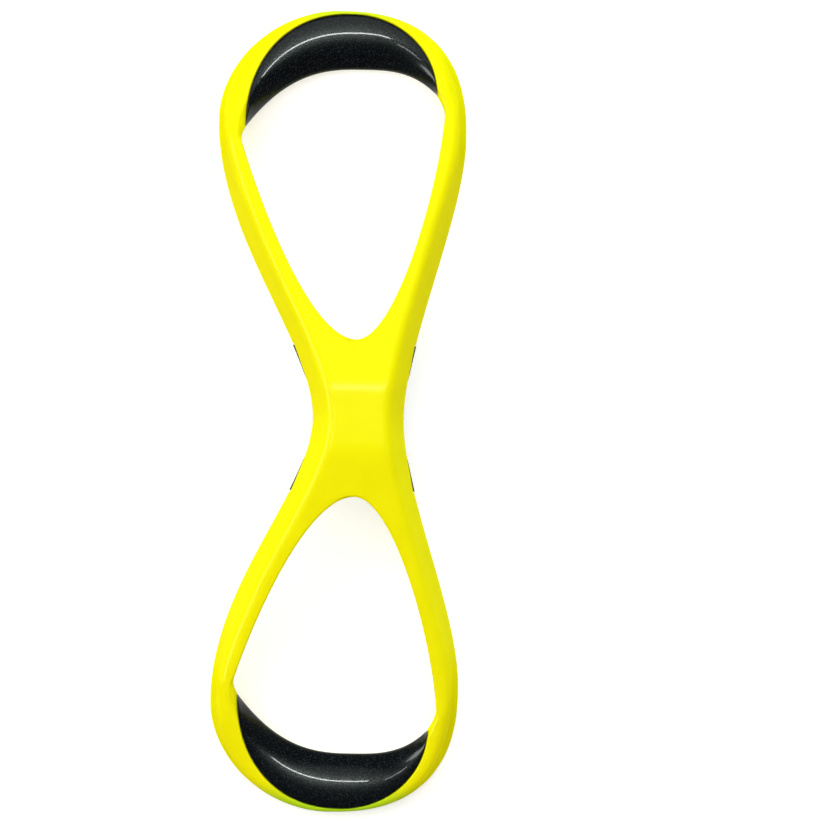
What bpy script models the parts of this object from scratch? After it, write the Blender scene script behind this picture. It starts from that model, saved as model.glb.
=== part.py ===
# Figure-eight swim trainer for hand, wrist and forearm: a hollow shell, its back cover and three soft pads.
# The plan is drawn flat, X across and Y along the arm, with the waist at the origin. Depth runs down from the
# front (convex) face. Both loops are then folded down at the waist, and the whole stands on its two ends.

import math
from collections import namedtuple

import bmesh
import bpy
import numpy as np

# Lengths along the arm, metres
FOREARM_REACH = 0.1749
HAND_REACH = 0.1693
CROTCH_REACH = 0.0338
PANEL_HALF_LENGTH = 0.0145
PANEL_FOLD = 0.0040

# Outline seen from the front: the loops bulge further to the left of the arm than to the right
WAIST_HALF_WIDTH = 0.0195
TIP_SHIFT = -0.0108
LEFT_BULGE = 0.0619
LEFT_RISE = 0.0468
LEFT_WAIST_PULL = 0.0316
LEFT_LOOP_PULL = 0.0513
LEFT_FULLNESS = 1.91
RIGHT_BULGE = 0.0446
RIGHT_RISE = 0.0547
RIGHT_WAIST_PULL = 0.0326
RIGHT_LOOP_PULL = 0.0320
RIGHT_FULLNESS = 2.50

# Loop openings
CROTCH_SHIFT = -0.0012
LEFT_RAIL = 0.0092
LEFT_CROTCH_PULL = 0.0200
LEFT_CORNER_PULL = 0.0280
LEFT_CORNER_LEAN = 0.315
RIGHT_RAIL = 0.0092
RIGHT_CROTCH_PULL = 0.0170
RIGHT_CORNER_PULL = 0.0300
RIGHT_CORNER_LEAN = 0.040
ARCH_SHIFT = -0.0017
END_DEPTH = 0.0252
LEFT_ARCH_DROP = 0.0286
LEFT_ARCH_FULLNESS = 2.56
LEFT_CORNER_DROP = 0.0003
RIGHT_ARCH_DROP = 0.0150
RIGHT_ARCH_FULLNESS = 3.20
RIGHT_CORNER_DROP = 0.0015
CORNER_ROUND = 0.0028

# Section
RAIL_THICKNESS = 0.0130
WAIST_THICKNESS = 0.0113
THICK_FROM = 0.0150
THICK_TO = 0.0720
END_DROP = 0.0227
WAIST_FLANK = 0.0067
LOOP_FLANK = 0.0036
TIP_FLANK = 0.0003
FLANK_FADE = 0.0450
FLANK_RISE = 0.0498
TIP_THICKNESS = 0.0032
END_TAPER = 0.42
BACK_ROUND = 0.0018
EDGE_ROUND = 0.0008
EDGE_SHARE = 0.6
EDGE_BREAK = 0.3
TIP_EDGE_SHARE = 0.4
CREASE_ROUND = 0.0006
CREASE_SHARE = 0.1
BEND_SHARES = (0.15, 0.85)

# Hollow and back cover
FRONT_WALL = 0.0026
SIDE_WALL = 0.0030
INNER_WALL = 0.0028
LEDGE = 0.0010
COVER_THICKNESS = 0.0020
HOLLOW_END = 0.0660

# Pads
FIT_GAP = 0.0003
PAD_SHIFT = -0.0055
PAD_RIM = 0.0012
PAD_EDGE = 0.0021
PAD_LIP = 0.0030
PAD_NOSE = 0.0010
PAD_SLOPE = 0.33
PAD_ROLL = 2.6
PAD_PLATE = 0.0016
PAD_OVERHANG = 0.0006
LEFT_PAD_STEP = 0.0023
LEFT_PAD_FULLNESS = 2.20
RIGHT_PAD_STEP = 0.0036
RIGHT_PAD_FULLNESS = 2.03
PAD_END_ANGLE = math.radians(8.0)
LEFT_SCOOP = 0.0023
LEFT_SCOOP_ANGLE = math.radians(14.0)
RIGHT_SCOOP = 0.0018
RIGHT_SCOOP_ANGLE = math.radians(7.0)
SCOOP_SLOPE = 0.6
WRIST_END_WALL = 0.0008
WRIST_END_THICKNESS = 0.0024
WRIST_MID_THICKNESS = 0.0012
WRIST_RIB_LENGTH = 0.0022
WRIST_RIB_HEIGHT = 0.0007
WRIST_HALF_LENGTH = CROTCH_REACH - (INNER_WALL - LEDGE) - WRIST_END_WALL

# Sampling
END_STEPS = 11
CORNER_STEPS = (0.3, 0.65)
RAIL_STEPS = (0.0, 0.12, 0.24, 0.36, 0.47, 0.58, 0.69, 0.8, 0.9, 1.0)
CROWN_STEPS = (0.06, 0.25, 0.45, 0.62, 0.77, 0.9)
STEP_LENGTH = 0.0001
CUT_LENGTH = 0.0020

Side = namedtuple("Side", "way bulge rise waist_pull loop_pull fullness rail crotch_pull corner_pull corner_lean "
                          "arch_drop arch_fullness corner_drop pad_step pad_fullness scoop scoop_angle")
LEFT = Side(-1, LEFT_BULGE, LEFT_RISE, LEFT_WAIST_PULL, LEFT_LOOP_PULL, LEFT_FULLNESS, LEFT_RAIL,
            LEFT_CROTCH_PULL, LEFT_CORNER_PULL, LEFT_CORNER_LEAN, LEFT_ARCH_DROP, LEFT_ARCH_FULLNESS,
            LEFT_CORNER_DROP, LEFT_PAD_STEP, LEFT_PAD_FULLNESS, LEFT_SCOOP, LEFT_SCOOP_ANGLE)
RIGHT = Side(1, RIGHT_BULGE, RIGHT_RISE, RIGHT_WAIST_PULL, RIGHT_LOOP_PULL, RIGHT_FULLNESS, RIGHT_RAIL,
             RIGHT_CROTCH_PULL, RIGHT_CORNER_PULL, RIGHT_CORNER_LEAN, RIGHT_ARCH_DROP, RIGHT_ARCH_FULLNESS,
             RIGHT_CORNER_DROP, RIGHT_PAD_STEP, RIGHT_PAD_FULLNESS, RIGHT_SCOOP, RIGHT_SCOOP_ANGLE)

# One cut across the frame: outer, front inner and lip points in plan, each with its direction into the material.
# Scoop is the width of the slope from the face down to the tip of a pad.
Station = namedtuple("Station", "outer outer_in inner inner_in lip lip_in reach end scoop waist")


def unit(vector):
    return vector / np.linalg.norm(vector)


def smooth(value, start, stop):
    share = min(max((value - start) / (stop - start), 0.0), 1.0)
    return share * share * (3 - 2 * share)


def bezier(points, t):
    a, b, c, d = (np.array(point) for point in points)
    place = (1 - t) ** 3 * a + 3 * t * (1 - t) ** 2 * b + 3 * t * t * (1 - t) * c + t ** 3 * d
    along = (1 - t) ** 2 * (b - a) + 2 * t * (1 - t) * (c - b) + t * t * (d - c)
    return place, unit(along)


def round_quarter(middle, size, fullness, angle):
    """A quarter of a superellipse: the point at this angle, and the direction out of it."""
    across = math.cos(angle) ** (2 / fullness)
    up = math.sin(angle) ** (2 / fullness)
    place = np.array([middle[0] + size[0] * across, middle[1] + size[1] * up])
    out = np.array([across ** (fullness - 1) / size[0], up ** (fullness - 1) / size[1]])
    return place, unit(out)


def tip_arc(side, reach, angle):
    size = (side.way * side.bulge - TIP_SHIFT, side.rise)
    place, out = round_quarter((TIP_SHIFT, reach - side.rise), size, side.fullness, angle)
    return place, -out


def outline(side, reach, y):
    """The outer edge at this height, and the direction into the material."""
    widest = reach - side.rise
    if y > widest:
        share = min((y - widest) / side.rise, 1.0)
        return tip_arc(side, reach, math.asin(share ** (side.fullness / 2)))
    waist_x = side.way * WAIST_HALF_WIDTH
    loop_x = side.way * side.bulge
    handles = ((waist_x, 0.0), (waist_x, side.waist_pull), (loop_x, widest - side.loop_pull), (loop_x, widest))
    steps = np.linspace(0, 1, 201)
    heights = [bezier(handles, t)[0][1] for t in steps]
    place, along = bezier(handles, float(np.interp(y, heights, steps)))
    return place, np.array([-along[1], along[0]]) * side.way


def corner_x(side):
    return side.way * (side.bulge - side.rail)


def arch(side, reach, x):
    """The inner edge of the end wall at this x, and the direction into the material."""
    width = abs(corner_x(side) - ARCH_SHIFT)
    share = max(side.way * (x - ARCH_SHIFT), 0.0) / width
    slope = -side.way * side.arch_drop * side.arch_fullness * share ** (side.arch_fullness - 1) / width
    y = reach - END_DEPTH - side.arch_drop * share ** side.arch_fullness
    return np.array([x, y]), unit(np.array([-slope, 1.0]))


def rail_corner(side, reach):
    return arch(side, reach, corner_x(side))[0] - np.array([0.0, side.corner_drop])


def rail_edge(side, reach, t):
    """The opening's edge, from the crotch to the corner of the arch."""
    corner = rail_corner(side, reach)
    lean = side.way * side.corner_lean * side.corner_pull
    handles = ((CROTCH_SHIFT, CROTCH_REACH), (CROTCH_SHIFT + side.way * side.crotch_pull, CROTCH_REACH),
               (corner[0] - lean, corner[1] - side.corner_pull), corner)
    place, along = bezier(handles, t)
    return place, np.array([along[1], -along[0]]) * side.way


def rail_share(side, reach, y):
    """Where along the rail its edge is at this height."""
    steps = np.linspace(0, 1, 201)
    return float(np.interp(y, [rail_edge(side, reach, t)[0][1] for t in steps], steps))


def rail_top(side, reach):
    return rail_share(side, reach, rail_corner(side, reach)[1] - CORNER_ROUND)


def corner_edge(side, reach, u):
    """The opening's rounded corner, from the tip of the pad to the top of the rail."""
    start = pad_tip(side, reach)
    corner = rail_corner(side, reach)
    stop = rail_edge(side, reach, rail_top(side, reach))[0]
    place = (1 - u) ** 2 * start + 2 * u * (1 - u) * corner + u * u * stop
    along = unit((1 - u) * (start - corner) + u * (corner - stop))
    return place, np.array([along[1], -along[0]]) * side.way


def pad_tip(side, reach):
    return arch(side, reach, corner_x(side) - side.way * side.pad_step)[0]


def pad_edge(side, reach, angle):
    """The outer edge of the end pad, and the direction towards the rim."""
    tip = pad_tip(side, reach)
    size = (tip[0] - PAD_SHIFT, reach - PAD_RIM - tip[1])
    return round_quarter((PAD_SHIFT, tip[1]), size, side.pad_fullness, angle)


def pad_angles():
    return np.linspace(math.pi / 2, PAD_END_ANGLE, END_STEPS)


def end_station(side, reach, angle):
    tip = pad_tip(side, reach)
    lowest = math.asin(max((tip[1] - reach + side.rise) / side.rise, 0.0) ** (side.fullness / 2))
    outer, outer_in = tip_arc(side, reach, lowest + (math.pi / 2 - lowest) * angle / (math.pi / 2))
    inner, inner_in = pad_edge(side, reach, angle)
    lip_x = ARCH_SHIFT + (tip[0] - ARCH_SHIFT) * math.cos(angle) ** (2 / side.pad_fullness)
    lip, lip_in = arch(side, reach, lip_x)
    scoop = side.scoop * (1 - smooth(angle, 0.0, side.scoop_angle))
    return Station(outer, outer_in, inner, inner_in, lip, lip_in, reach, math.sin(angle), scoop, False)


def edge_station(side, reach, edge, edge_in, scoop):
    outer, outer_in = outline(side, reach, edge[1])
    return Station(outer, outer_in, edge, edge_in, edge, edge_in, reach, 0.0, scoop, False)


def waist_station(side, reach, y):
    outer, outer_in = outline(side, reach, y)
    level_in = np.array([1 / outer_in[0], 0.0])
    middle = np.array([CROTCH_SHIFT, y])
    still = np.zeros(2)
    return Station(outer, level_in, middle, still, middle, still, reach, 0.0, 0.0, True)


def waist_heights():
    """Heights from the middle of the waist to the crotch, with both sides of each step in the back."""
    rib = WRIST_RIB_LENGTH / 2
    fold = (PANEL_HALF_LENGTH - PANEL_FOLD, PANEL_HALF_LENGTH, PANEL_HALF_LENGTH + PANEL_FOLD)
    pocket_end = WRIST_HALF_LENGTH + FIT_GAP
    return (0.0, rib - STEP_LENGTH, rib, rib + FIT_GAP, rib + FIT_GAP + STEP_LENGTH, *fold,
            (fold[2] + WRIST_HALF_LENGTH) / 2, WRIST_HALF_LENGTH, pocket_end, pocket_end + STEP_LENGTH)


def half_strand(side, reach, channel_end):
    """Stations down to the middle of the waist, from the tip or from a channel's end, that far from the tip."""
    if channel_end is None:
        stations = [end_station(side, reach, angle) for angle in (*pad_angles(), 0.0)]
        for u in CORNER_STEPS:
            stations.append(edge_station(side, reach, *corner_edge(side, reach, u), side.scoop * (1 - u)))
        last = rail_top(side, reach)
    else:
        stations = []
        last = rail_share(side, reach, reach - channel_end)
    stations += [edge_station(side, reach, *rail_edge(side, reach, t * last), 0.0) for t in reversed(RAIL_STEPS)]
    return stations + [waist_station(side, reach, y) for y in reversed(waist_heights())]


def flank_width(station):
    y = station.outer[1]
    loop = station.reach - FLANK_RISE
    rail = WAIST_FLANK + (LOOP_FLANK - WAIST_FLANK) * smooth(y, loop - FLANK_FADE, loop)
    return rail + (TIP_FLANK - LOOP_FLANK) * smooth(station.end, 0.0, 1.0)


def thickness(y):
    return WAIST_THICKNESS + (RAIL_THICKNESS - WAIST_THICKNESS) * smooth(abs(y), THICK_FROM, THICK_TO)


def back_depth(place, reach):
    return min(thickness(place[1]), TIP_THICKNESS + END_TAPER * (reach - place[1]))


def wrist_pocket(y, clear):
    """Depth of the wrist pad's seat above the back, with the rib that locates it. Clear widens the seat."""
    if abs(y) > WRIST_HALF_LENGTH + clear + STEP_LENGTH / 2:
        return 0.0
    share = (y / WRIST_HALF_LENGTH) ** 2
    seat = WRIST_MID_THICKNESS + (WRIST_END_THICKNESS - WRIST_MID_THICKNESS) * share
    on_rib = abs(y) < WRIST_RIB_LENGTH / 2 + clear + STEP_LENGTH / 2
    return seat + (WRIST_RIB_HEIGHT if on_rib else 0.0)


def side_inset(depth, flank, full):
    """How far the outer side lies inside the outline at this depth: a sloping flank over a round back edge."""
    widest = full - min(BACK_ROUND, full / 2)
    if depth <= widest:
        return flank * (1 - depth / widest)
    share = min((depth - widest) / (full - widest), 1.0)
    return (full - widest) * (1 - math.sqrt(1 - share * share))


def at(place, depth):
    return (place[0], place[1], depth)


def shell_ring(station):
    flank = flank_width(station)
    full = back_depth(station.outer, station.reach)
    widest = full - min(BACK_ROUND, full / 2)
    seat = wrist_pocket(station.outer[1], FIT_GAP)
    outer_back = full - seat
    lip_full = back_depth(station.lip, station.reach) - seat
    back_edge = EDGE_ROUND * EDGE_SHARE
    sides = [outer_back, min(full, outer_back - back_edge), min(widest, outer_back - EDGE_ROUND)]
    insets = [side_inset(depth, flank, full) for depth in sides]
    insets[0] += EDGE_ROUND / 2
    ring = [at(station.outer + station.outer_in * inset, depth) for inset, depth in zip(insets, sides)]
    ring.append(at(station.outer + station.outer_in * flank * (1 - CREASE_SHARE), widest * CREASE_SHARE))
    finer = 1 + (TIP_EDGE_SHARE - 1) * station.end
    ring.append(at(station.outer + station.outer_in * (flank + CREASE_ROUND * finer), 0.0))
    edge = EDGE_ROUND * finer
    lip = station.lip + station.lip_in * PAD_OVERHANG * smooth(station.end, 0.0, math.sin(PAD_END_ANGLE))
    sunk = station.scoop * SCOOP_SLOPE
    pocket = PAD_EDGE + FIT_GAP + sunk
    ring.append(at(station.inner + station.inner_in * (edge + station.scoop), 0.0))
    ring.append(at(station.inner + station.inner_in * edge * EDGE_BREAK, edge * EDGE_BREAK + sunk))
    ring.append(at(station.inner, edge + sunk))
    ring.append(at(station.inner, pocket))
    ring.append(at((station.inner + lip) / 2, (pocket + lip_full - PAD_PLATE) / 2))
    ring.append(at(lip, lip_full - PAD_PLATE))
    ring.append(at(lip, lip_full - back_edge))
    ring.append(at(lip + station.lip_in * back_edge, lip_full))
    back = station.outer + station.outer_in * insets[0]
    fold = station.reach - (RAIL_THICKNESS - TIP_THICKNESS) / END_TAPER
    share = 0.5
    if back[1] > lip[1]:
        share = min(max((fold - lip[1]) / (back[1] - lip[1]), BEND_SHARES[0]), BEND_SHARES[1])
    middle = lip + (back - lip) * share
    ring.append(at(middle, back_depth(middle, station.reach) - seat))
    return ring


def channel_ring(station, clear, top, bottom, with_flank):
    """A box section inside the frame. Clear widens it, top is under the front or, if negative, above the back."""
    wall = INNER_WALL - clear
    inner = station.inner + station.inner_in * wall
    if station.waist:
        inner[1] = min(inner[1], CROTCH_REACH - wall)
    full = thickness(station.outer[1])
    flank = flank_width(station)
    ring = []
    for is_top in (False, True):
        backs = [thickness(y) - wrist_pocket(y, FIT_GAP) for y in (station.outer[1], inner[1])]
        depths = [back + (top if is_top else bottom) for back in backs]
        if is_top and top > 0:
            depths = [top, top]
        slope = side_inset(min(depths[0], full - BACK_ROUND), flank, full) if with_flank else 0.0
        outer = station.outer + station.outer_in * (SIDE_WALL - clear + slope)
        pair = [at(outer, depths[0]), at(inner, depths[1])]
        ring += pair[::-1] if is_top else pair
    return [ring[0], ring[3], ring[2], ring[1]]


def front_height(y, reach):
    """Height of the front face: flat over the waist panel, then down to the ends."""
    run = reach - (RAIL_THICKNESS - TIP_THICKNESS) / END_TAPER - PANEL_HALF_LENGTH
    past = y - PANEL_HALF_LENGTH
    if past <= -PANEL_FOLD:
        return 0.0
    if past < PANEL_FOLD:
        past = (past + PANEL_FOLD) ** 2 / (4 * PANEL_FOLD)
    return -END_DROP / run * past


def folded(point, reach, way):
    x, y, depth = point
    return (x, way * y, front_height(y, reach) - depth)


def weave(bm, rings):
    """A closed tube through rings of points, as a grid that is rolled up."""
    across = len(rings[0])
    made = bmesh.ops.create_grid(bm, x_segments=across, y_segments=len(rings) - 1, size=1.0)
    points = [point for ring in rings for point in (*ring, ring[0])]
    for vertex, point in zip(made["verts"], points):
        vertex.co = point
    return made["verts"]


def drop_inner_walls(bm, verts, waist_rows, across, inner_from, inner_to):
    """Opens the two strands to each other between the crotches."""
    row_length = across + 1
    inner = {verts[row * row_length + column] for row in waist_rows for column in range(inner_from, inner_to + 1)}
    walls = {face for vertex in inner for face in vertex.link_faces if all(v in inner for v in face.verts)}
    bmesh.ops.delete(bm, geom=list(walls), context="FACES")


def finish(name, bm, material, root):
    bmesh.ops.remove_doubles(bm, verts=bm.verts, dist=STEP_LENGTH / 20)
    rims = [edge for edge in bm.edges if edge.is_boundary]
    if rims:
        bmesh.ops.holes_fill(bm, edges=rims, sides=0)
    bmesh.ops.recalc_face_normals(bm, faces=bm.faces)
    mesh = bpy.data.meshes.new(name)
    bm.to_mesh(mesh)
    bm.free()
    mesh.materials.append(material)
    mesh.shade_smooth()
    mesh.set_sharp_from_angle(angle=math.radians(40))
    piece = bpy.data.objects.new(name, mesh)
    bpy.context.scene.collection.objects.link(piece)
    piece.parent = root
    return piece


def figure_eight(ring_of, channel_end, inner_from, inner_to):
    """Both strands, each from the forearm end past the waist to the hand end."""
    bm = bmesh.new()
    for side in (LEFT, RIGHT):
        rings = []
        waist_rows = []
        for reach, way in ((FOREARM_REACH, 1), (HAND_REACH, -1)):
            stations = half_strand(side, reach, channel_end)
            half = [[folded(point, reach, way) for point in ring_of(station)] for station in stations]
            open_rows = [row for row, station in enumerate(stations) if station.waist]
            open_rows.insert(0, open_rows[0] - 1)
            if way > 0:
                waist_rows += open_rows
                rings += half
            else:
                last = len(rings) + len(half) - 2
                waist_rows += [last - row for row in open_rows]
                rings += half[-2::-1]
        verts = weave(bm, rings)
        drop_inner_walls(bm, verts, waist_rows, len(rings[0]), inner_from, inner_to)
    return bm


def end_pad_ring(station):
    """The pad's section: down its outer edge, along the seat to the lip, and back over the crown."""
    outer = station.inner - station.inner_in * FIT_GAP
    lip_full = back_depth(station.lip, station.reach)
    lip = station.lip
    seat_lip = lip_full - PAD_PLATE - 2 * FIT_GAP
    sunk = station.scoop * SCOOP_SLOPE
    face_edge = FIT_GAP + sunk
    seat_edge = PAD_EDGE + sunk
    face_lip = min(face_edge + PAD_SLOPE * np.linalg.norm(lip - outer), seat_lip - PAD_LIP)
    ring = [at(outer, face_edge + EDGE_ROUND * EDGE_SHARE), at(outer, seat_edge)]
    ring.append(at((outer + lip) / 2, (seat_edge + seat_lip) / 2 - FIT_GAP))
    ring.append(at(lip + station.lip_in * (PAD_OVERHANG - FIT_GAP), seat_lip))
    ring.append(at(lip, seat_lip - PAD_NOSE / 2))
    ring.append(at(lip, face_lip + PAD_NOSE))
    for share in reversed(CROWN_STEPS):
        ring.append(at(outer + (lip - outer) * share, face_edge + (face_lip - face_edge) * share ** PAD_ROLL))
    return ring


def end_pad(name, reach, way, material, root):
    bm = bmesh.new()
    stations = [end_station(LEFT, reach, angle) for angle in reversed(pad_angles())]
    stations += [end_station(RIGHT, reach, angle) for angle in pad_angles()[1:]]
    weave(bm, [[folded(point, reach, way) for point in end_pad_ring(station)] for station in stations])
    return finish(name, bm, material, root)


def wrist_ring(y, reach):
    full = thickness(y)
    top = full - wrist_pocket(y, 0.0) + FIT_GAP
    depths = (top, (top + full) / 2, full - BACK_ROUND * CREASE_SHARE, full)
    ring = []
    for side, order in ((LEFT, depths), (RIGHT, depths[::-1])):
        station = waist_station(side, reach, abs(y))
        flank = flank_width(station)
        for depth in order:
            inset = side_inset(depth, flank, full)
            ring.append(at(station.outer + station.outer_in * inset, depth))
    return ring


def wrist_pad(material, root):
    bm = bmesh.new()
    rib = WRIST_RIB_LENGTH / 2
    fold = (PANEL_HALF_LENGTH - PANEL_FOLD, PANEL_HALF_LENGTH, PANEL_HALF_LENGTH + PANEL_FOLD)
    heights = (rib, rib + STEP_LENGTH, *fold, (fold[2] + WRIST_HALF_LENGTH) / 2, WRIST_HALF_LENGTH)
    rings = [[folded(point, FOREARM_REACH, 1) for point in wrist_ring(y, FOREARM_REACH)] for y in heights[::-1]]
    rings += [[folded(point, HAND_REACH, -1) for point in wrist_ring(y, HAND_REACH)] for y in heights]
    weave(bm, rings)
    return finish("wrist_pad", bm, material, root)


def finish_of(name, colour, roughness):
    material = bpy.data.materials.new(name)
    material.use_nodes = True
    shader = material.node_tree.nodes["Principled BSDF"]
    shader.inputs["Base Color"].default_value = (*colour, 1.0)
    shader.inputs["Roughness"].default_value = roughness
    shader.inputs["Metallic"].default_value = 0.0
    return material


def cut(piece, cutter):
    cutter.hide_render = True
    cutter.display_type = "WIRE"
    boolean = piece.modifiers.new("Cut " + cutter.name, "BOOLEAN")
    boolean.operation = "DIFFERENCE"
    boolean.solver = "EXACT"
    boolean.object = cutter


def main():
    for old in list(bpy.data.objects):
        bpy.data.objects.remove(old, do_unlink=True)
    root = bpy.data.objects.new("arm_trainer", None)
    bpy.context.scene.collection.objects.link(root)
    yellow = finish_of("yellow moulding", (0.93, 0.88, 0.004), 0.32)
    cover_yellow = finish_of("yellow cover", (0.90, 0.84, 0.004), 0.40)
    forearm_black = finish_of("black forearm pad", (0.012, 0.013, 0.014), 0.22)
    hand_black = finish_of("black hand pad", (0.012, 0.013, 0.014), 0.22)
    wrist_black = finish_of("black wrist pad", (0.011, 0.011, 0.009), 0.45)

    shell = finish("frame_shell", figure_eight(shell_ring, None, 5, 12), yellow, root)
    ledge_depth = COVER_THICKNESS + FIT_GAP

    def seat_ring(station):
        return channel_ring(station, LEDGE, -ledge_depth, CUT_LENGTH, False)

    def hollow_ring(station):
        return channel_ring(station, 0.0, FRONT_WALL, CUT_LENGTH, True)

    def cover_ring(station):
        return channel_ring(station, LEDGE - FIT_GAP, -COVER_THICKNESS, 0.0, False)

    cut(shell, finish("cover_seat", figure_eight(seat_ring, HOLLOW_END, 2, 3), yellow, root))
    cut(shell, finish("hollow", figure_eight(hollow_ring, HOLLOW_END + LEDGE, 2, 3), yellow, root))
    finish("back_cover", figure_eight(cover_ring, HOLLOW_END + FIT_GAP, 2, 3), cover_yellow, root)
    end_pad("forearm_pad", FOREARM_REACH, 1, forearm_black, root)
    end_pad("hand_pad", HAND_REACH, -1, hand_black, root)
    wrist_pad(wrist_black, root)

    corners = np.array([vertex.co for vertex in shell.data.vertices])
    low, high = corners.min(axis=0), corners.max(axis=0)
    root.location = (-(low[0] + high[0]) / 2, -(low[1] + high[1]) / 2, -low[2])


main()
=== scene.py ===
import math

import bmesh
import bpy
import numpy as np
from mathutils import Matrix, Vector


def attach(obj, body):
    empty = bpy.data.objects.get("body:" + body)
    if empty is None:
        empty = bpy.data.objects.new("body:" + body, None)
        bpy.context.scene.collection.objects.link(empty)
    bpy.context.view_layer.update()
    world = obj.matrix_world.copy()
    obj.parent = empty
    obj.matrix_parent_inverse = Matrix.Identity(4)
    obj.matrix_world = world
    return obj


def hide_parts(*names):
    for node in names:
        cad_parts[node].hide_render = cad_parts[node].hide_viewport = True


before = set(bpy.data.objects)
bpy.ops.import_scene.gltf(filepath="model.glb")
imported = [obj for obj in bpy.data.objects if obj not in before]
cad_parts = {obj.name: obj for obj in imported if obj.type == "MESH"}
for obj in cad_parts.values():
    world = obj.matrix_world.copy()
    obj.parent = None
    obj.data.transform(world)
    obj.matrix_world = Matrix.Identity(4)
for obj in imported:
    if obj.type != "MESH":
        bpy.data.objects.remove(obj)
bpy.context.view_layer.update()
print("frame loaded:", ", ".join(sorted(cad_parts)))

# the figure eight in plan, waist at the origin and forearm loop up, in metres
plan = {
    "forearmReach": 0.1749, "handReach": 0.1693, "crotchReach": 0.0338,
    "waistHalf": 0.0195, "tipShift": -0.0108, "crotchShift": -0.0012,
    "archShift": -0.0017, "endDepth": 0.0252, "cornerRound": 0.0028,
    "panelHalf": 0.0145, "panelFold": 0.0040, "endDrop": 0.0227,
    "rowShift": (0.00865, -0.0028, 0.0357),  # from plan to row frame
    "samples": 401,  # along a curve that is looked up by height
}
leftSide = {
    "way": -1, "bulge": 0.0619, "rise": 0.0468, "waistPull": 0.0316, "loopPull": 0.0513, "fullness": 1.91,
    "rail": 0.0092, "crotchPull": 0.0200, "cornerPull": 0.0280, "cornerLean": 0.315, "archDrop": 0.0286,
    "archFullness": 2.56, "cornerDrop": 0.0003, "padStep": 0.0023, "padFullness": 2.20,
    "scoop": 0.0023, "scoopAngle": math.radians(14.0),
}
rightSide = {
    "way": 1, "bulge": 0.0446, "rise": 0.0547, "waistPull": 0.0326, "loopPull": 0.0320, "fullness": 2.50,
    "rail": 0.0092, "crotchPull": 0.0170, "cornerPull": 0.0300, "cornerLean": 0.040, "archDrop": 0.0150,
    "archFullness": 3.20, "cornerDrop": 0.0015, "padStep": 0.0036, "padFullness": 2.03,
    "scoop": 0.0018, "scoopAngle": math.radians(7.0),
}
loops = ((plan["forearmReach"], 1), (plan["handReach"], -1))

# section of the yellow frame
frameBody = {
    "railThickness": 0.0130, "waistThickness": 0.0113, "thickFrom": 0.0150, "thickTo": 0.0720,
    "tipThickness": 0.0032, "endTaper": 0.42,
    "waistFlank": 0.0067, "loopFlank": 0.0036, "tipFlank": 0.0003, "flankFade": 0.0450, "flankRise": 0.0498,
    "backRound": 0.0018, "edgeRound": 0.0008, "tipEdge": 0.4, "lipRound": 0.0005,
    "creaseLeg": (0.0034, 0.0054),  # at the waist and in the loops
    "creaseOnFace": 0.6, "creaseOnFlank": 0.5, "edgeOnFace": 0.3,  # most that a rounding takes of a side
    "fitGap": 0.0003, "stepLength": 0.0001,
    "sideShares": (1.0, 0.995, 0.985, 0.96, 0.93, 0.89, 0.84, 0.72, 0.55, 0.35, 0.15),
    "faceShares": (0.08, 0.3, 0.5, 0.7, 0.92), "seatShares": (0.0, 0.25, 0.5, 0.75, 1.0),
    "landShares": (0.12, 0.9), "coverShares": (0.2, 0.4, 0.6, 0.8),
    "creaseSteps": 9, "roundSteps": 5, "railSteps": 46, "cornerSteps": 9, "foldSteps": 7,
    "clearShare": 0.3, "coverStep": 0.001,  # shares of a rail step and of a rail, round the cover's end
}

# plate that closes the back of the frame
backCover = {
    "thickness": 0.0020, "innerWall": 0.0018, "outerWall": 0.0020, "endGap": 0.0660, "edgeBreak": 0.0003,
}

# crowned pads in the ends
endPads = {
    "shift": -0.0055, "rim": 0.0012, "edge": 0.0021, "lip": 0.0030, "nose": 0.0010, "plate": 0.0016,
    "overhang": 0.0006, "overhangFrom": math.radians(8.0), "slope": 0.33, "roll": 2.6, "edgeRound": 0.0006,
    "scoopSlope": 0.6, "noseFrom": 0.94, "edgeFrom": 0.05,  # shares of the way from edge to lip
    "seatShares": (0.25, 0.5, 0.75), "edgeShares": (0.25, 0.5, 0.75, 1.0), "noseSteps": 6, "faceSteps": 16,
    "endAngles": (7.0, 5.6, 4.4, 3.3, 2.4, 1.6), "wideSteps": 34,
}

# inlay under the wrist
wristPad = {
    "endWall": 0.0008, "endThickness": 0.0024, "midThickness": 0.0012,
    "ribLength": 0.0022, "ribHeight": 0.0007,
    "flare": 0.0003, "flareFrom": 0.0140, "flareTo": 0.0200,  # its tabs stand out beside the waist
    "depthShares": (0.0, 0.12, 0.35, 0.6, 0.8, 0.92, 0.98, 1.0),
}
wristPad["halfLength"] = plan["crotchReach"] - backCover["innerWall"] - wristPad["endWall"]


def unit(vector):
    return vector / np.linalg.norm(vector)


def smooth(value, start, stop):
    share = min(max((value - start) / (stop - start), 0.0), 1.0)
    return share * share * (3 - 2 * share)


def bezier(handles, t):
    a, b, c, d = (np.array(handle) for handle in handles)
    place = (1 - t) ** 3 * a + 3 * t * (1 - t) ** 2 * b + 3 * t * t * (1 - t) * c + t ** 3 * d
    along = (1 - t) ** 2 * (b - a) + 2 * t * (1 - t) * (c - b) + t * t * (d - c)
    return place, unit(along)


def roundedCorner(start, corner, stop, t):
    return (1 - t) ** 2 * start + 2 * t * (1 - t) * corner + t * t * stop


def roundQuarter(middle, size, fullness, angle):  # a quarter superellipse: point and outward direction
    across = math.cos(angle) ** (2 / fullness)
    up = math.sin(angle) ** (2 / fullness)
    place = np.array([middle[0] + size[0] * across, middle[1] + size[1] * up])
    out = np.array([across ** (fullness - 1) / size[0], up ** (fullness - 1) / size[1]])
    return place, unit(out)


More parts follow.
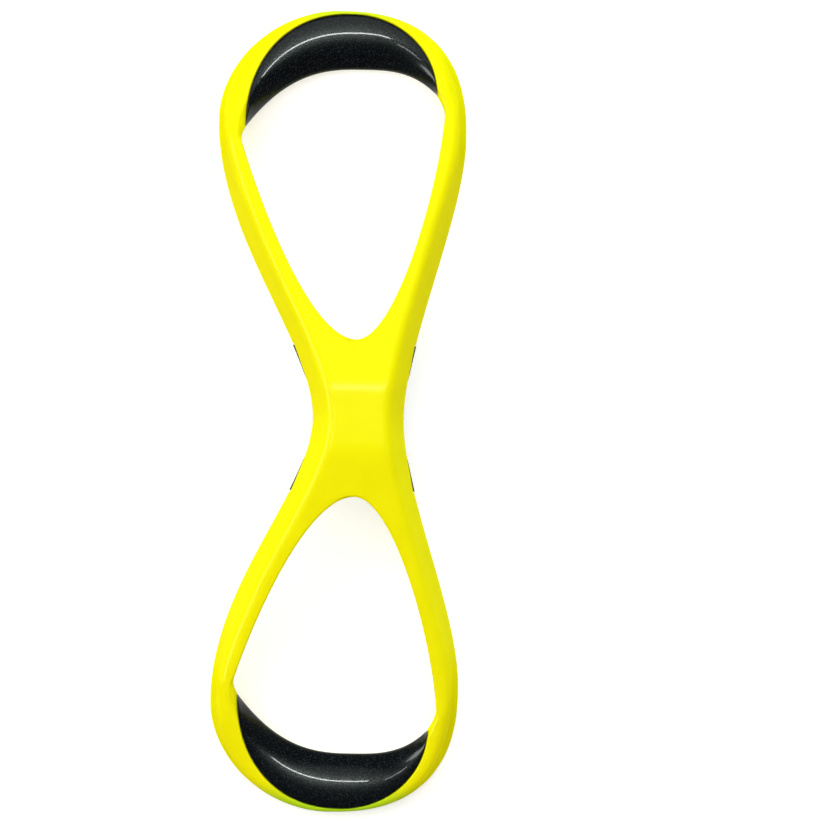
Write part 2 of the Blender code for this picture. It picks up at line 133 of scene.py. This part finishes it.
def tipArc(side, reach, angle):
    size = (side["way"] * side["bulge"] - plan["tipShift"], side["rise"])
    place, out = roundQuarter((plan["tipShift"], reach - side["rise"]), size, side["fullness"], angle)
    return place, -out


def outline(side, reach, y):  # outer edge at this height, with the direction into the frame
    widest = reach - side["rise"]
    if y > widest:
        share = min((y - widest) / side["rise"], 1.0)
        return tipArc(side, reach, math.asin(share ** (side["fullness"] / 2)))
    waistX = side["way"] * plan["waistHalf"]
    loopX = side["way"] * side["bulge"]
    handles = ((waistX, 0.0), (waistX, side["waistPull"]),
               (loopX, widest - side["loopPull"]), (loopX, widest))
    steps = np.linspace(0, 1, plan["samples"])
    heights = [bezier(handles, t)[0][1] for t in steps]
    place, along = bezier(handles, float(np.interp(y, heights, steps)))
    return place, np.array([-along[1], along[0]]) * side["way"]


def cornerX(side):
    return side["way"] * (side["bulge"] - side["rail"])


def arch(side, reach, x):  # inner edge of the end wall
    width = abs(cornerX(side) - plan["archShift"])
    share = max(side["way"] * (x - plan["archShift"]), 0.0) / width
    power = side["archFullness"]
    slope = -side["way"] * side["archDrop"] * power * share ** (power - 1) / width
    y = reach - plan["endDepth"] - side["archDrop"] * share ** power
    return np.array([x, y]), unit(np.array([-slope, 1.0]))


def railCorner(side, reach):
    return arch(side, reach, cornerX(side))[0] - np.array([0.0, side["cornerDrop"]])


def railEdge(side, reach, t):  # edge of the opening, from the crotch to the corner of the arch
    corner = railCorner(side, reach)
    lean = side["way"] * side["cornerLean"] * side["cornerPull"]
    crotch = (plan["crotchShift"], plan["crotchReach"])
    handles = (crotch, (crotch[0] + side["way"] * side["crotchPull"], crotch[1]),
               (corner[0] - lean, corner[1] - side["cornerPull"]), corner)
    place, along = bezier(handles, t)
    return place, np.array([along[1], -along[0]]) * side["way"]


def railShare(side, reach, y):  # where along the rail its edge is at this height
    steps = np.linspace(0, 1, plan["samples"])
    heights = [railEdge(side, reach, t)[0][1] for t in steps]
    return float(np.interp(y, heights, steps))


def railTop(side, reach):
    return railShare(side, reach, railCorner(side, reach)[1] - plan["cornerRound"])


def padTip(side, reach):
    return arch(side, reach, cornerX(side) - side["way"] * side["padStep"])[0]


def cornerEdge(side, reach, u):  # rounded corner, from the tip of the pad to the top of the rail
    start, corner = padTip(side, reach), railCorner(side, reach)
    stop = railEdge(side, reach, railTop(side, reach))[0]
    along = unit((1 - u) * (start - corner) + u * (corner - stop))
    return roundedCorner(start, corner, stop, u), np.array([along[1], -along[0]]) * side["way"]


def padEdge(side, reach, angle):
    tip = padTip(side, reach)
    size = (tip[0] - endPads["shift"], reach - endPads["rim"] - tip[1])
    return roundQuarter((endPads["shift"], tip[1]), size, side["padFullness"], angle)


def padAngles():
    wide = np.linspace(math.pi / 2, math.radians(endPads["endAngles"][0]), endPads["wideSteps"])
    return [*wide, *(math.radians(angle) for angle in endPads["endAngles"][1:])]


def endStation(side, reach, angle):
    tip = padTip(side, reach)
    start = max((tip[1] - reach + side["rise"]) / side["rise"], 0.0)
    lowest = math.asin(start ** (side["fullness"] / 2))
    outer, outerIn = tipArc(side, reach, lowest + (math.pi / 2 - lowest) * angle / (math.pi / 2))
    inner, innerIn = padEdge(side, reach, angle)
    lipX = plan["archShift"] + (tip[0] - plan["archShift"]) * math.cos(angle) ** (2 / side["padFullness"])
    lip, lipIn = arch(side, reach, lipX)
    scoop = side["scoop"] * (1 - smooth(angle, 0.0, side["scoopAngle"]))
    return {"outer": outer, "outerIn": outerIn, "inner": inner, "innerIn": innerIn,
            "lip": lip, "lipIn": lipIn, "reach": reach, "end": math.sin(angle),
            "scoop": scoop, "seat": False, "waist": False}


def edgeStation(side, reach, edge, edgeIn, scoop=0.0, seat=False):
    outer, outerIn = outline(side, reach, edge[1])
    return {"outer": outer, "outerIn": outerIn, "inner": edge, "innerIn": edgeIn,
            "lip": edge, "lipIn": edgeIn, "reach": reach, "end": 0.0,
            "scoop": scoop, "seat": seat, "waist": False}


def waistStation(side, reach, y):
    outer, outerIn = outline(side, reach, y)
    middle = np.array([plan["crotchShift"], y])
    still = np.zeros(2)
    return {"outer": outer, "outerIn": np.array([1 / outerIn[0], 0.0]), "inner": middle, "innerIn": still,
            "lip": middle, "lipIn": still, "reach": reach, "end": 0.0,
            "scoop": 0.0, "seat": True, "waist": True}


def inlayHeights():  # over the fold beside the waist panel to the end of the inlay
    start, stop = plan["panelHalf"] - plan["panelFold"], plan["panelHalf"] + plan["panelFold"]
    steps = frameBody["foldSteps"]
    past = np.linspace(stop, wristPad["halfLength"], steps)[1:]
    return [start / 2, *np.linspace(start, stop, steps), *past]


def waistHeights():
    rib, half = wristPad["ribLength"] / 2, wristPad["halfLength"]
    gap, step = frameBody["fitGap"], frameBody["stepLength"]
    return [0.0, rib - step, rib, rib + gap, rib + gap + step, *inlayHeights(), half + gap, half + gap + step]


def halfStrand(side, reach, coverEnd):  # from the tip, or the end of the cover, to the middle of the waist
    stations = []
    last = railShare(side, reach, reach - (coverEnd or backCover["endGap"]))
    top = railTop(side, reach)
    shares = np.linspace(top, 0, frameBody["railSteps"])
    clear = frameBody["clearShare"] * top / frameBody["railSteps"]
    if coverEnd is None:
        stations += [endStation(side, reach, angle) for angle in (*padAngles(), 0.0)]
        for u in np.linspace(0, 1, frameBody["cornerSteps"])[1:-1]:
            stations.append(edgeStation(side, reach, *cornerEdge(side, reach, u), side["scoop"] * (1 - u)))
        for t in [*(t for t in shares if t > last + clear), last + frameBody["coverStep"]]:
            stations.append(edgeStation(side, reach, *railEdge(side, reach, t)))
    for t in [last, *(t for t in shares if t < last - clear)]:
        stations.append(edgeStation(side, reach, *railEdge(side, reach, t), seat=True))
    return stations + [waistStation(side, reach, y) for y in reversed(waistHeights())]


def flankWidth(station):
    loop = station["reach"] - frameBody["flankRise"]
    narrowing = smooth(station["outer"][1], loop - frameBody["flankFade"], loop)
    rail = frameBody["waistFlank"] + (frameBody["loopFlank"] - frameBody["waistFlank"]) * narrowing
    return rail + (frameBody["tipFlank"] - frameBody["loopFlank"]) * smooth(station["end"], 0.0, 1.0)


def thickness(y):
    more = frameBody["railThickness"] - frameBody["waistThickness"]
    return frameBody["waistThickness"] + more * smooth(abs(y), frameBody["thickFrom"], frameBody["thickTo"])


def backDepth(place, reach):
    return min(thickness(place[1]), frameBody["tipThickness"] + frameBody["endTaper"] * (reach - place[1]))


def wristPocket(y, clear):  # depth of the inlay's seat, deeper at its ends and at the rib
    half = wristPad["halfLength"]
    if abs(y) > half + clear + frameBody["stepLength"] / 2:
        return 0.0
    seat = wristPad["midThickness"] + (wristPad["endThickness"] - wristPad["midThickness"]) * (y / half) ** 2
    onRib = abs(y) < wristPad["ribLength"] / 2 + clear + frameBody["stepLength"] / 2
    return seat + (wristPad["ribHeight"] if onRib else 0.0)


def sideInset(depth, flank, full):  # sloping flank over a round back edge
    widest = full - min(frameBody["backRound"], full / 2)
    if depth <= widest:
        return flank * (1 - depth / widest)
    share = min((depth - widest) / (full - widest), 1.0)
    return (full - widest) * (1 - math.sqrt(1 - share * share))


def at(place, depth):
    return (place[0], place[1], depth)


def shellRing(station):
    outer, outerIn = station["outer"], station["outerIn"]
    inner, innerIn = station["inner"], station["innerIn"]
    reach = station["reach"]
    flank = flankWidth(station)
    full = backDepth(outer, reach)
    widest = full - min(frameBody["backRound"], full / 2)
    pocket = wristPocket(outer[1], frameBody["fitGap"])
    faceWidth = np.linalg.norm(inner - outer - outerIn * flank)
    loop = reach - frameBody["flankRise"]
    waistLeg, loopLeg = frameBody["creaseLeg"]
    leg = waistLeg + (loopLeg - waistLeg) * smooth(outer[1], loop - frameBody["flankFade"], loop)
    flankLength = math.hypot(flank, widest)
    leg = min(leg, frameBody["creaseOnFace"] * faceWidth, frameBody["creaseOnFlank"] * flankLength)
    creaseDepth = leg * widest / flankLength

    ring = []
    for share in frameBody["sideShares"]:  # up the outer side
        depth = creaseDepth + (full - pocket - creaseDepth) * share
        ring.append(at(outer + outerIn * sideInset(depth, flank, full), depth))
    for t in np.linspace(0, 1, frameBody["creaseSteps"]):  # over the crease
        inset = flank + leg * t * t - flank * creaseDepth / widest * (1 - t) ** 2
        ring.append(at(outer + outerIn * inset, creaseDepth * (1 - t) ** 2))
    edge = frameBody["edgeRound"] * (1 + (frameBody["tipEdge"] - 1) * station["end"])
    edge = min(edge, frameBody["edgeOnFace"] * faceWidth)
    scoop, sunk = station["scoop"], station["scoop"] * endPads["scoopSlope"]
    faceFrom = outer + outerIn * (flank + leg)
    faceTo = inner + innerIn * (edge + scoop)
    ring += [at(faceFrom + (faceTo - faceFrom) * share, 0.0) for share in frameBody["faceShares"]]
    firstInner = len(ring)
    for angle in np.linspace(0, math.pi / 2, frameBody["roundSteps"]):  # round the inner edge
        along = angle / (math.pi / 2)
        ring.append(at(inner + innerIn * (edge * (1 - math.sin(angle)) + scoop * (1 - along)),
                       edge * (1 - math.cos(angle)) + sunk * along))

    lipIn = station["lipIn"]
    over = smooth(station["end"], 0.0, math.sin(endPads["overhangFrom"]))
    lip = station["lip"] + lipIn * endPads["overhang"] * over
    lipFull = backDepth(station["lip"], reach) - pocket
    seatEdge = endPads["edge"] + frameBody["fitGap"] + sunk
    seatLip = lipFull - endPads["plate"]
    for share in frameBody["seatShares"]:  # down the pad's seat to the lip
        ring.append(at(inner + (lip - inner) * share, seatEdge + (seatLip - seatEdge) * share))
    lipRound = frameBody["lipRound"]
    for angle in np.linspace(0, math.pi / 2, frameBody["roundSteps"]):
        ring.append(at(lip + lipIn * lipRound * (1 - math.cos(angle)),
                       lipFull - lipRound * (1 - math.sin(angle))))

    # across the back, with the cover's seat sunk into it
    backFrom = lip + lipIn * lipRound
    backTo = outer + outerIn * sideInset(full - pocket, flank, full)
    landFrom, landTo = (backFrom + (backTo - backFrom) * share for share in frameBody["landShares"])
    seat = 0.0
    if station["seat"]:
        seat = backCover["thickness"] + frameBody["fitGap"]
        landFrom = inner + innerIn * backCover["innerWall"]
        landTo = outer + outerIn * backCover["outerWall"]
    lastInner = len(ring) + 1
    sunken = [(share, seat) for share in (0.0, *frameBody["coverShares"], 1.0)]
    for share, drop in ((0.0, 0.0), *sunken, (1.0, 0.0)):
        place = landFrom + (landTo - landFrom) * share
        ring.append(at(place, backDepth(place, reach) - wristPocket(place[1], frameBody["fitGap"]) - drop))
    return ring, firstInner, lastInner  # with the columns that meet on the middle line of the waist


def coverRing(station):
    gap, rim = frameBody["fitGap"], backCover["edgeBreak"]
    inner = station["inner"] + station["innerIn"] * (backCover["innerWall"] + gap)
    outer = station["outer"] + station["outerIn"] * (backCover["outerWall"] + gap)
    across = inner - outer
    rimShare = rim / np.linalg.norm(across)
    ring = []
    inmost = 1.0 if station["waist"] else 1 - rimShare  # no broken edge on the middle line
    for share, drop in ((0.0, rim), (rimShare, 0.0), (inmost, 0.0), (1.0, rim),
                        (1.0, backCover["thickness"]), (0.0, backCover["thickness"])):
        place = outer + across * share
        ring.append(at(place, thickness(place[1]) - wristPocket(place[1], gap) - drop))
    return ring, 2, 4


def frontHeight(y, reach):  # flat over the waist panel, then down to the ends
    run = reach - plan["panelHalf"]
    run -= (frameBody["railThickness"] - frameBody["tipThickness"]) / frameBody["endTaper"]
    past = y - plan["panelHalf"]
    if past <= -plan["panelFold"]:
        return 0.0
    if past < plan["panelFold"]:
        past = (past + plan["panelFold"]) ** 2 / (4 * plan["panelFold"])
    return -plan["endDrop"] / run * past


def folded(point, reach, way):
    x, y, depth = point
    shift = plan["rowShift"]
    return (x + shift[0], way * y + shift[1], frontHeight(y, reach) - depth + shift[2])


def weave(bm, rings):  # a grid rolled into a tube through the rings
    across = len(rings[0])
    made = bmesh.ops.create_grid(bm, x_segments=across, y_segments=len(rings) - 1, size=1.0)
    points = [point for ring in rings for point in (*ring, ring[0])]
    for vertex, point in zip(made["verts"], points):
        vertex.co = point
    return made["verts"]


meshing = {"mergeDistance": 4e-6, "sharpAngle": math.radians(38)}


def finishPiece(name, bm, material, node):
    bmesh.ops.remove_doubles(bm, verts=bm.verts, dist=meshing["mergeDistance"])
    bmesh.ops.dissolve_degenerate(bm, edges=bm.edges, dist=meshing["mergeDistance"])
    rims = [edge for edge in bm.edges if edge.is_boundary]
    if rims:
        bmesh.ops.holes_fill(bm, edges=rims, sides=0)
    bmesh.ops.recalc_face_normals(bm, faces=bm.faces)
    loose = sum(not edge.is_manifold for edge in bm.edges)
    mesh = bpy.data.meshes.new(name)
    bm.to_mesh(mesh)
    bm.free()
    mesh.materials.append(material)
    mesh.shade_smooth()
    mesh.set_sharp_from_angle(angle=meshing["sharpAngle"])
    piece = bpy.data.objects.new(name, mesh)
    bpy.context.scene.collection.objects.link(piece)
    weighted = piece.modifiers.new("Flat faces", "WEIGHTED_NORMAL")
    weighted.keep_sharp = True
    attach(piece, "root")
    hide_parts(node)
    print(name, "made:", len(mesh.polygons), "faces,", loose, "open edges")
    return piece


def figureEight(ringOf, coverEnd):
    bm = bmesh.new()
    for side in (leftSide, rightSide):
        rings = []
        waistRows = []
        for reach, way in loops:
            stations = halfStrand(side, reach, coverEnd)
            made = [ringOf(station) for station in stations]
            innerFrom, innerTo = made[0][1:]
            half = [[folded(point, reach, way) for point in ring] for ring, _, _ in made]
            openRows = [row for row, station in enumerate(stations) if station["waist"]]
            openRows.insert(0, openRows[0] - 1)
            if way > 0:
                waistRows += openRows
                rings += half
            else:
                last = len(rings) + len(half) - 2
                waistRows += [last - row for row in openRows]
                rings += half[-2::-1]
        verts = weave(bm, rings)
        rowLength = len(rings[0]) + 1
        inside = {verts[row * rowLength + column]
                  for row in waistRows for column in range(innerFrom, innerTo + 1)}
        walls = {face for vertex in inside for face in vertex.link_faces
                 if all(corner in inside for corner in face.verts)}
        bmesh.ops.delete(bm, geom=list(walls), context="FACES")  # both strands are one across the waist
    return bm


def endPadRing(station):
    gap = frameBody["fitGap"]
    outer = station["inner"] - station["innerIn"] * gap
    lip, lipIn = station["lip"], station["lipIn"]
    seatLip = backDepth(lip, station["reach"]) - endPads["plate"] - 2 * gap
    sunk = station["scoop"] * endPads["scoopSlope"]
    faceEdge, seatEdge = gap + sunk, endPads["edge"] + sunk
    faceLip = min(faceEdge + endPads["slope"] * np.linalg.norm(lip - outer), seatLip - endPads["lip"])
    ring = [at(outer, seatEdge)]
    for share in endPads["seatShares"]:
        ring.append(at(outer + (lip - outer) * share,
                       seatEdge + (seatLip - seatEdge) * share - gap * 4 * share * (1 - share)))
    ring.append(at(lip + lipIn * (endPads["overhang"] - gap), seatLip))
    ring.append(at(lip, seatLip - endPads["nose"] / 2))

    def face(share):
        return at(outer + (lip - outer) * share, faceEdge + (faceLip - faceEdge) * share ** endPads["roll"])

    noseFrom, edgeFrom = endPads["noseFrom"], endPads["edgeFrom"]
    nose = [np.array(point) for point in (at(lip, faceLip + endPads["nose"]), face(1.0), face(noseFrom))]
    ring += [tuple(roundedCorner(*nose, t)) for t in np.linspace(0, 1, endPads["noseSteps"])[:-1]]
    ring += [face(share) for share in np.linspace(noseFrom, edgeFrom, endPads["faceSteps"])]
    edgeFoot = at(outer, faceEdge + endPads["edgeRound"])
    edge = [np.array(point) for point in (face(edgeFrom), at(outer, faceEdge), edgeFoot)]
    return ring + [tuple(roundedCorner(*edge, t)) for t in endPads["edgeShares"]]


def makeEndPad(name, reach, way, material, node):
    bm = bmesh.new()
    angles = padAngles()
    stations = [endStation(leftSide, reach, angle) for angle in angles[::-1]]
    stations += [endStation(rightSide, reach, angle) for angle in angles[1:]]
    weave(bm, [[folded(point, reach, way) for point in endPadRing(station)] for station in stations])
    piece = finishPiece(name, bm, material, node)


def wristRing(y, reach):
    full = thickness(y)
    top = full - wristPocket(y, 0.0) + frameBody["fitGap"]
    depths = [top + (full - top) * share for share in wristPad["depthShares"]]
    flare = wristPad["flare"] * smooth(abs(y), wristPad["flareFrom"], wristPad["flareTo"])
    ring = []
    for side, order in ((leftSide, depths), (rightSide, depths[::-1])):
        station = waistStation(side, reach, abs(y))
        outer, outerIn, flank = station["outer"], station["outerIn"], flankWidth(station)
        ring += [at(outer + outerIn * (sideInset(depth, flank, full) - flare), depth) for depth in order]
    return ring


def makeWristPad(material):
    bm = bmesh.new()
    rib = wristPad["ribLength"] / 2
    heights = [rib, rib + frameBody["stepLength"], *inlayHeights()]
    rings = []
    for (reach, way), order in zip(loops, (heights[::-1], heights)):
        rings += [[folded(point, reach, way) for point in wristRing(y, reach)] for y in order]
    weave(bm, rings)
    piece = finishPiece("wrist_pad_inlay", bm, material, "wrist_pad")


def newMaterial(name, settings):
    material = bpy.data.materials.new(name)
    material.use_nodes = True
    nodes = material.node_tree.nodes
    shader = nodes["Principled BSDF"]
    for socket, value in settings.items():
        shader.inputs[socket].default_value = value
    place = nodes.new("ShaderNodeTexCoord")
    return material, nodes, material.node_tree.links, shader, place.outputs["Object"]


def noise(nodes, links, place, scale, detail, roughness=0.5):
    texture = nodes.new("ShaderNodeTexNoise")
    texture.inputs["Scale"].default_value = scale
    texture.inputs["Detail"].default_value = detail
    texture.inputs["Roughness"].default_value = roughness
    links.new(place, texture.inputs["Vector"])
    return texture.outputs["Fac"]


def ramp(nodes, links, value, stops):
    mapped = nodes.new("ShaderNodeValToRGB")
    elements = mapped.color_ramp.elements
    while len(elements) < len(stops):
        elements.new(0.5)
    for element, (position, colour) in zip(elements, stops):
        element.position = position
        element.color = (*colour, 1.0)
    links.new(value, mapped.inputs["Fac"])
    return mapped.outputs["Color"]


def mapRange(nodes, links, value, before, after, interpolation="LINEAR"):
    mapped = nodes.new("ShaderNodeMapRange")
    mapped.interpolation_type = interpolation
    mapped.inputs["From Min"].default_value, mapped.inputs["From Max"].default_value = before
    mapped.inputs["To Min"].default_value, mapped.inputs["To Max"].default_value = after
    links.new(value, mapped.inputs["Value"])
    return mapped.outputs["Result"]


def mathNode(nodes, links, operation, value, other=None):
    made = nodes.new("ShaderNodeMath")
    made.operation = operation
    links.new(value, made.inputs[0])
    if isinstance(other, float):
        made.inputs[1].default_value = other
    elif other is not None:
        links.new(other, made.inputs[1])
    return made.outputs[0]


def splitAxes(nodes, links, vector):
    split = nodes.new("ShaderNodeSeparateXYZ")
    links.new(vector, split.inputs[0])
    return split.outputs


def bump(nodes, links, height, strength, distance, under=None):
    made = nodes.new("ShaderNodeBump")
    made.inputs["Strength"].default_value = strength
    made.inputs["Distance"].default_value = distance
    links.new(height, made.inputs["Height"])
    if under is not None:
        links.new(under, made.inputs["Normal"])
    return made.outputs["Normal"]


yellowMoulding = {
    "colours": ((0.36, (0.910, 0.840, 0.0008)), (0.64, (0.935, 0.865, 0.0016))), "refraction": 1.46,
    "cloudScale": 55.0, "cloudDetail": 3.0, "grainScale": 2600.0, "grainDetail": 2.0,
    "waveScale": 45.0, "waveDetail": 1.0,
    "grainStrength": 0.10, "grainDepth": 0.00006, "waveStrength": 0.12, "waveDepth": 0.0004,
    "roughness": ((0.3, (0.13, 0.13, 0.13)), (0.7, (0.20, 0.20, 0.20))),
    # painted glow: greener colour painted on the thin end rims, standing in for light shining through them
    "paintedGlowColour": (0.45, 0.70, 0.012), "paintedGlowShift": 0.003, "paintedGlowBetween": (0.160, 0.174),
    "shine": (0.0, 0.053), "shineBetween": (0.35, 0.85),
}


def makeYellow():
    finish = yellowMoulding
    material, nodes, links, shader, place = newMaterial("lemon yellow moulding", {
        "Metallic": 0.0, "IOR": finish["refraction"]})
    facing = splitAxes(nodes, links, place.node.outputs["Normal"])["Z"]
    shine = mapRange(nodes, links, facing, finish["shineBetween"], finish["shine"])  # satin front, matt sides
    links.new(shine, shader.inputs["Specular IOR Level"])

    # painted light: the thin rims at both ends are painted greener, as a glow of light shining through them,
    # the lower one more
    shifted = mathNode(nodes, links, "SUBTRACT", splitAxes(nodes, links, place)["Y"], finish["paintedGlowShift"])
    along = mathNode(nodes, links, "ABSOLUTE", shifted)
    paintedGlowMask = mapRange(nodes, links, along, finish["paintedGlowBetween"], (0.0, 1.0), "SMOOTHSTEP")
    clouds = noise(nodes, links, place, finish["cloudScale"], finish["cloudDetail"])
    paintedGlowMix = nodes.new("ShaderNodeMixRGB")
    paintedGlowMix.inputs["Color2"].default_value = (*finish["paintedGlowColour"], 1.0)
    links.new(paintedGlowMask, paintedGlowMix.inputs["Fac"])
    links.new(ramp(nodes, links, clouds, finish["colours"]), paintedGlowMix.inputs["Color1"])
    links.new(paintedGlowMix.outputs["Color"], shader.inputs["Base Color"])

    grain = noise(nodes, links, place, finish["grainScale"], finish["grainDetail"])
    links.new(ramp(nodes, links, grain, finish["roughness"]), shader.inputs["Roughness"])
    waves = noise(nodes, links, place, finish["waveScale"], finish["waveDetail"])
    slow = bump(nodes, links, waves, finish["waveStrength"], finish["waveDepth"])
    fine = bump(nodes, links, grain, finish["grainStrength"], finish["grainDepth"], slow)
    links.new(fine, shader.inputs["Normal"])
    return material


glossyBlack = {
    "specks": ((0.42, (0.0008, 0.0013, 0.0024)), (0.56, (0.0030, 0.0042, 0.0058)),
               (0.70, (0.028, 0.033, 0.037))),
    "speckScale": 1700.0, "speckDetail": 3.0, "speckRoughness": 0.65,
    "grainStrength": 0.35, "grainDepth": 0.00008,
    "sockets": {
        "Metallic": 0.0, "Roughness": 0.26, "Specular IOR Level": 0.134,
        "Specular Tint": (0.84, 1.0, 0.90, 1.0),
        "Coat Weight": 1.0, "Coat Roughness": 0.05, "Coat IOR": 1.20,
    },
}
mattBlack = {
    "specks": ((0.3, (0.006, 0.006, 0.005)), (0.75, (0.020, 0.020, 0.017))),
    "speckScale": 900.0, "speckDetail": 3.0, "speckRoughness": 0.6,
    "grainStrength": 0.5, "grainDepth": 0.00012,
    "sockets": {"Metallic": 0.0, "Roughness": 0.62},
}


def makeBlack(name, finish):
    material, nodes, links, shader, place = newMaterial(name, finish["sockets"])
    specks = noise(nodes, links, place, finish["speckScale"], finish["speckDetail"], finish["speckRoughness"])
    links.new(ramp(nodes, links, specks, finish["specks"]), shader.inputs["Base Color"])
    grain = bump(nodes, links, specks, finish["grainStrength"], finish["grainDepth"])
    links.new(grain, shader.inputs["Normal"])
    return material


yellow = makeYellow()
padBlack = makeBlack("speckled black pad", glossyBlack)
inlayBlack = makeBlack("matt black inlay", mattBlack)
print("materials made")

finishPiece("frame_moulding", figureEight(shellRing, None), yellow, "frame_shell")
coverEnd = backCover["endGap"] + frameBody["fitGap"]
finishPiece("back_plate", figureEight(coverRing, coverEnd), yellow, "back_cover")
makeEndPad("forearm_end_pad", plan["forearmReach"], 1, padBlack, "forearm_pad")
makeEndPad("hand_end_pad", plan["handReach"], -1, padBlack, "hand_pad")
makeWristPad(inlayBlack)

studio = {
    "floorSize": 30.0, "floorColour": (0.76, 0.76, 0.76), "floorRoughness": 0.9, "floorGlow": 0.50,
    "horizonHeight": 0.05, "zenithHeight": 0.75, "horizon": 0.25, "zenith": 0.03,
    "haze": 1.15, "hazeTilt": math.radians(20.0), "hazeRadius": math.radians(24.0),
}

# panels give only diffuse light, strips and the box show only as highlights
lamps = {
    "skyPanel": {"place": (0.0, 0.0, 3.0), "size": (6.0, 6.0), "power": 104.0, "forGloss": False,
                 "colour": (1.0, 0.94, 0.92)},
    "topPanel": {"place": (0.3, 3.2, 1.2), "size": (2.4, 1.2), "power": 82.0, "forGloss": False,
                 "colour": (0.76, 1.0, 0.93)},
    "leftPanel": {"place": (-2.6, 0.4, 1.6), "size": (1.4, 1.8), "power": 38.0, "forGloss": False,
                  "colour": (1.0, 1.0, 1.0)},
    "rightPanel": {"place": (2.6, -0.4, 1.2), "size": (1.4, 1.8), "power": 7.0, "forGloss": False,
                   "colour": (1.0, 0.95, 0.92)},
    "mainStrip": {"place": (0.42, 0.31, 2.6), "size": (1.45, 0.07), "power": 31.0, "forGloss": True,
                  "colour": (1.0, 1.0, 1.0)},
    "shortStrip": {"place": (-0.80, 0.03, 2.6), "size": (0.60, 0.06), "power": 5.0, "forGloss": True,
                   "colour": (1.0, 1.0, 1.0)},
    "leftBox": {"place": (-2.3, 0.1, 2.2), "size": (1.10, 1.8), "power": 80.0, "forGloss": True,
                "colour": (1.0, 1.0, 1.0)},
}


def makeFloor():
    bm = bmesh.new()
    bmesh.ops.create_grid(bm, x_segments=1, y_segments=1, size=studio["floorSize"] / 2)
    mesh = bpy.data.meshes.new("floor")
    bm.to_mesh(mesh)
    bm.free()
    floor = bpy.data.objects.new("floor", mesh)
    bpy.context.scene.collection.objects.link(floor)
    material = bpy.data.materials.new("white floor")
    material.use_nodes = True
    nodes, links = material.node_tree.nodes, material.node_tree.links
    shader = nodes["Principled BSDF"]
    shader.inputs["Base Color"].default_value = (*studio["floorColour"], 1.0)
    shader.inputs["Roughness"].default_value = studio["floorRoughness"]
    shader.inputs["Emission Color"].default_value = (1.0, 1.0, 1.0, 1.0)
    path = nodes.new("ShaderNodeLightPath")
    seen = path.outputs["Is Camera Ray"]
    for ray in ("Is Glossy Ray", "Is Transmission Ray"):
        seen = mathNode(nodes, links, "MAXIMUM", seen, path.outputs[ray])
    glow = mathNode(nodes, links, "MULTIPLY", seen, studio["floorGlow"])
    links.new(glow, shader.inputs["Emission Strength"])
    mesh.materials.append(material)


def makeWorld():
    world = bpy.data.worlds.new("studio")
    bpy.context.scene.world = world
    world.use_nodes = True
    nodes, links = world.node_tree.nodes, world.node_tree.links
    direction = nodes.new("ShaderNodeTexCoord").outputs["Generated"]
    height = splitAxes(nodes, links, direction)["Z"]
    level = mapRange(nodes, links, height, (studio["horizonHeight"], studio["zenithHeight"]),
                     (studio["horizon"], studio["zenith"]))
    facing = nodes.new("ShaderNodeVectorMath")
    facing.operation = "DOT_PRODUCT"
    facing.inputs[1].default_value = (0.0, math.sin(studio["hazeTilt"]), math.cos(studio["hazeTilt"]))
    links.new(direction, facing.inputs[0])
    haze = mapRange(nodes, links, facing.outputs["Value"], (math.cos(studio["hazeRadius"]), 1.0),
                    (0.0, studio["haze"]), "SMOOTHSTEP")  # soft glow overhead, towards the forearm end
    background = nodes["Background"]
    background.inputs["Color"].default_value = (1.0, 1.0, 1.0, 1.0)
    links.new(mathNode(nodes, links, "ADD", level, haze), background.inputs["Strength"])


def makeLamp(name, settings):
    lamp = bpy.data.lights.new(name, "AREA")
    lamp.energy = settings["power"]
    lamp.color = settings["colour"]
    lamp.shape = "RECTANGLE"
    lamp.size, lamp.size_y = settings["size"]
    holder = bpy.data.objects.new(name, lamp)
    back = Vector(settings["place"]).normalized()  # it looks at the origin
    across = Vector((0.0, 1.0, 0.0)).cross(back).normalized()  # first size across, second along Y
    turn = Matrix((across, back.cross(across), back)).transposed().to_4x4()
    holder.matrix_world = Matrix.Translation(settings["place"]) @ turn
    holder.visible_glossy = settings["forGloss"]
    holder.visible_diffuse = not settings["forGloss"]
    bpy.context.scene.collection.objects.link(holder)


makeFloor()
makeWorld()
for lampName, lampSettings in lamps.items():
    makeLamp(lampName, lampSettings)

# straight down on the front; the waist's middle falls left of the picture's middle
photoView = {
    "pixel": 0.00043, "pixels": 823, "waistPixel": (358.4, 418.2), "rollSlope": 0.0150,
    "distance": 10.0, "level": 0.003, "clipEnd": 100.0,
}


def makeCamera():
    roll = math.atan(photoView["rollSlope"])
    right = Vector((math.cos(roll), math.sin(roll), 0.0))
    up = Vector((-math.sin(roll), math.cos(roll), 0.0))
    middle = photoView["pixels"] / 2
    place = Vector((plan["rowShift"][0], plan["rowShift"][1], photoView["level"]))
    place += right * (middle - photoView["waistPixel"][0]) * photoView["pixel"]
    place += up * (photoView["waistPixel"][1] - middle) * photoView["pixel"]
    place.z += photoView["distance"]
    data = bpy.data.cameras.new("front camera")
    data.lens = data.sensor_width * photoView["distance"] / (photoView["pixels"] * photoView["pixel"])
    data.clip_end = photoView["clipEnd"]
    camera = bpy.data.objects.new("front camera", data)
    camera.matrix_world = Matrix.Translation(place) @ Matrix.Rotation(roll, 4, "Z")
    bpy.context.scene.collection.objects.link(camera)
    bpy.context.scene.camera = camera


makeCamera()
bpy.context.scene.view_settings.view_transform = "Standard"
print("studio and camera made")
